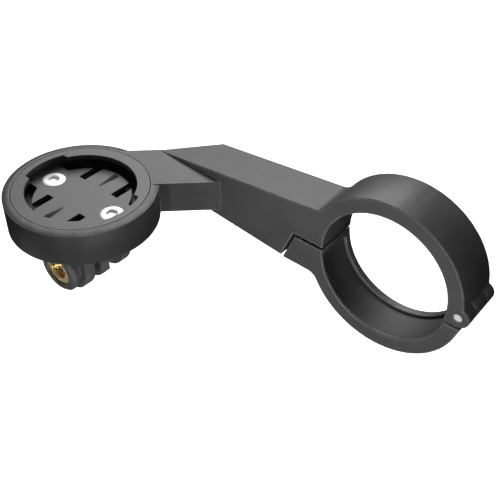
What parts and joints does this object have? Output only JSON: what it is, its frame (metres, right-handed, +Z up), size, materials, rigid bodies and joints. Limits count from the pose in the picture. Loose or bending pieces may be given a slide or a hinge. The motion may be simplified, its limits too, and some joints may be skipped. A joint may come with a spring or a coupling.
{
  "type": "handlebar mount",
  "caption": "Out-front handlebar mount: hinged clamp ring, cranked arm, round quarter-turn computer socket and a pronged camera adapter beneath.",
  "frame": {"origin": "on the handlebar axis, at the middle of the clamp's width", "axes": "+X along the handlebar towards the side the head is offset to, -Y forward in the riding direction, +Z up, square to the head's top face"},
  "size_m": [0.0545, 0.1116, 0.0431],
  "materials": {
    "anodised_alloy": "matte black anodised, fine bead-blasted grain",
    "socket_plastic": "moulded satin black",
    "adapter_plastic": "moulded black with a fine grain",
    "pad_rubber": "smooth black rubber",
    "steel": "bright",
    "brass": "machined"
  },
  "bodies": {
    "mount": {"arm_body": "anodised_alloy", "hinge_pin": "steel", "computer_socket": "socket_plastic", "socket_screw_front": "steel", "socket_screw_rear": "steel", "camera_adapter": "adapter_plastic", "pivot_nut": "brass", "screw_insert_front": "brass", "screw_insert_rear": "brass"},
    "strap": {"clamp_strap": "anodised_alloy", "strap_pad": "pad_rubber"},
    "bolt": {"clamp_bolt": "steel"},
    "tongue_near": {"detent_tongue_near": "socket_plastic"},
    "tongue_far": {"detent_tongue_far": "socket_plastic"}
  },
  "joints": [
    {"name": "strap_hinge", "type": "hinge", "parent": "mount", "child": "strap", "pos_m": [0, 0.0187, -0.0004], "axis": [1, 0, 0], "range_deg": [0, 70]},
    {"name": "bolt_slide", "type": "slide", "parent": "strap", "child": "bolt", "axis": [0, 0, -1], "range_m": [0, 0.0075]},
    {"name": "tongue_near_flex", "type": "hinge", "parent": "mount", "child": "tongue_near", "pos_m": [0.03462, -0.0714, 0.0009], "axis": [0, 1, 0], "range_deg": [0, 5], "stiffness_Nm_per_rad": 0.5},
    {"name": "tongue_far_flex", "type": "hinge", "parent": "mount", "child": "tongue_far", "pos_m": [0.02458, -0.0714, 0.0009], "axis": [0, -1, 0], "range_deg": [0, 5], "stiffness_Nm_per_rad": 0.5}
  ],
  "couplings": [
    {"joint": "bolt_slide", "follows": "strap_hinge", "m_per_rad": 0.00613}
  ]
}
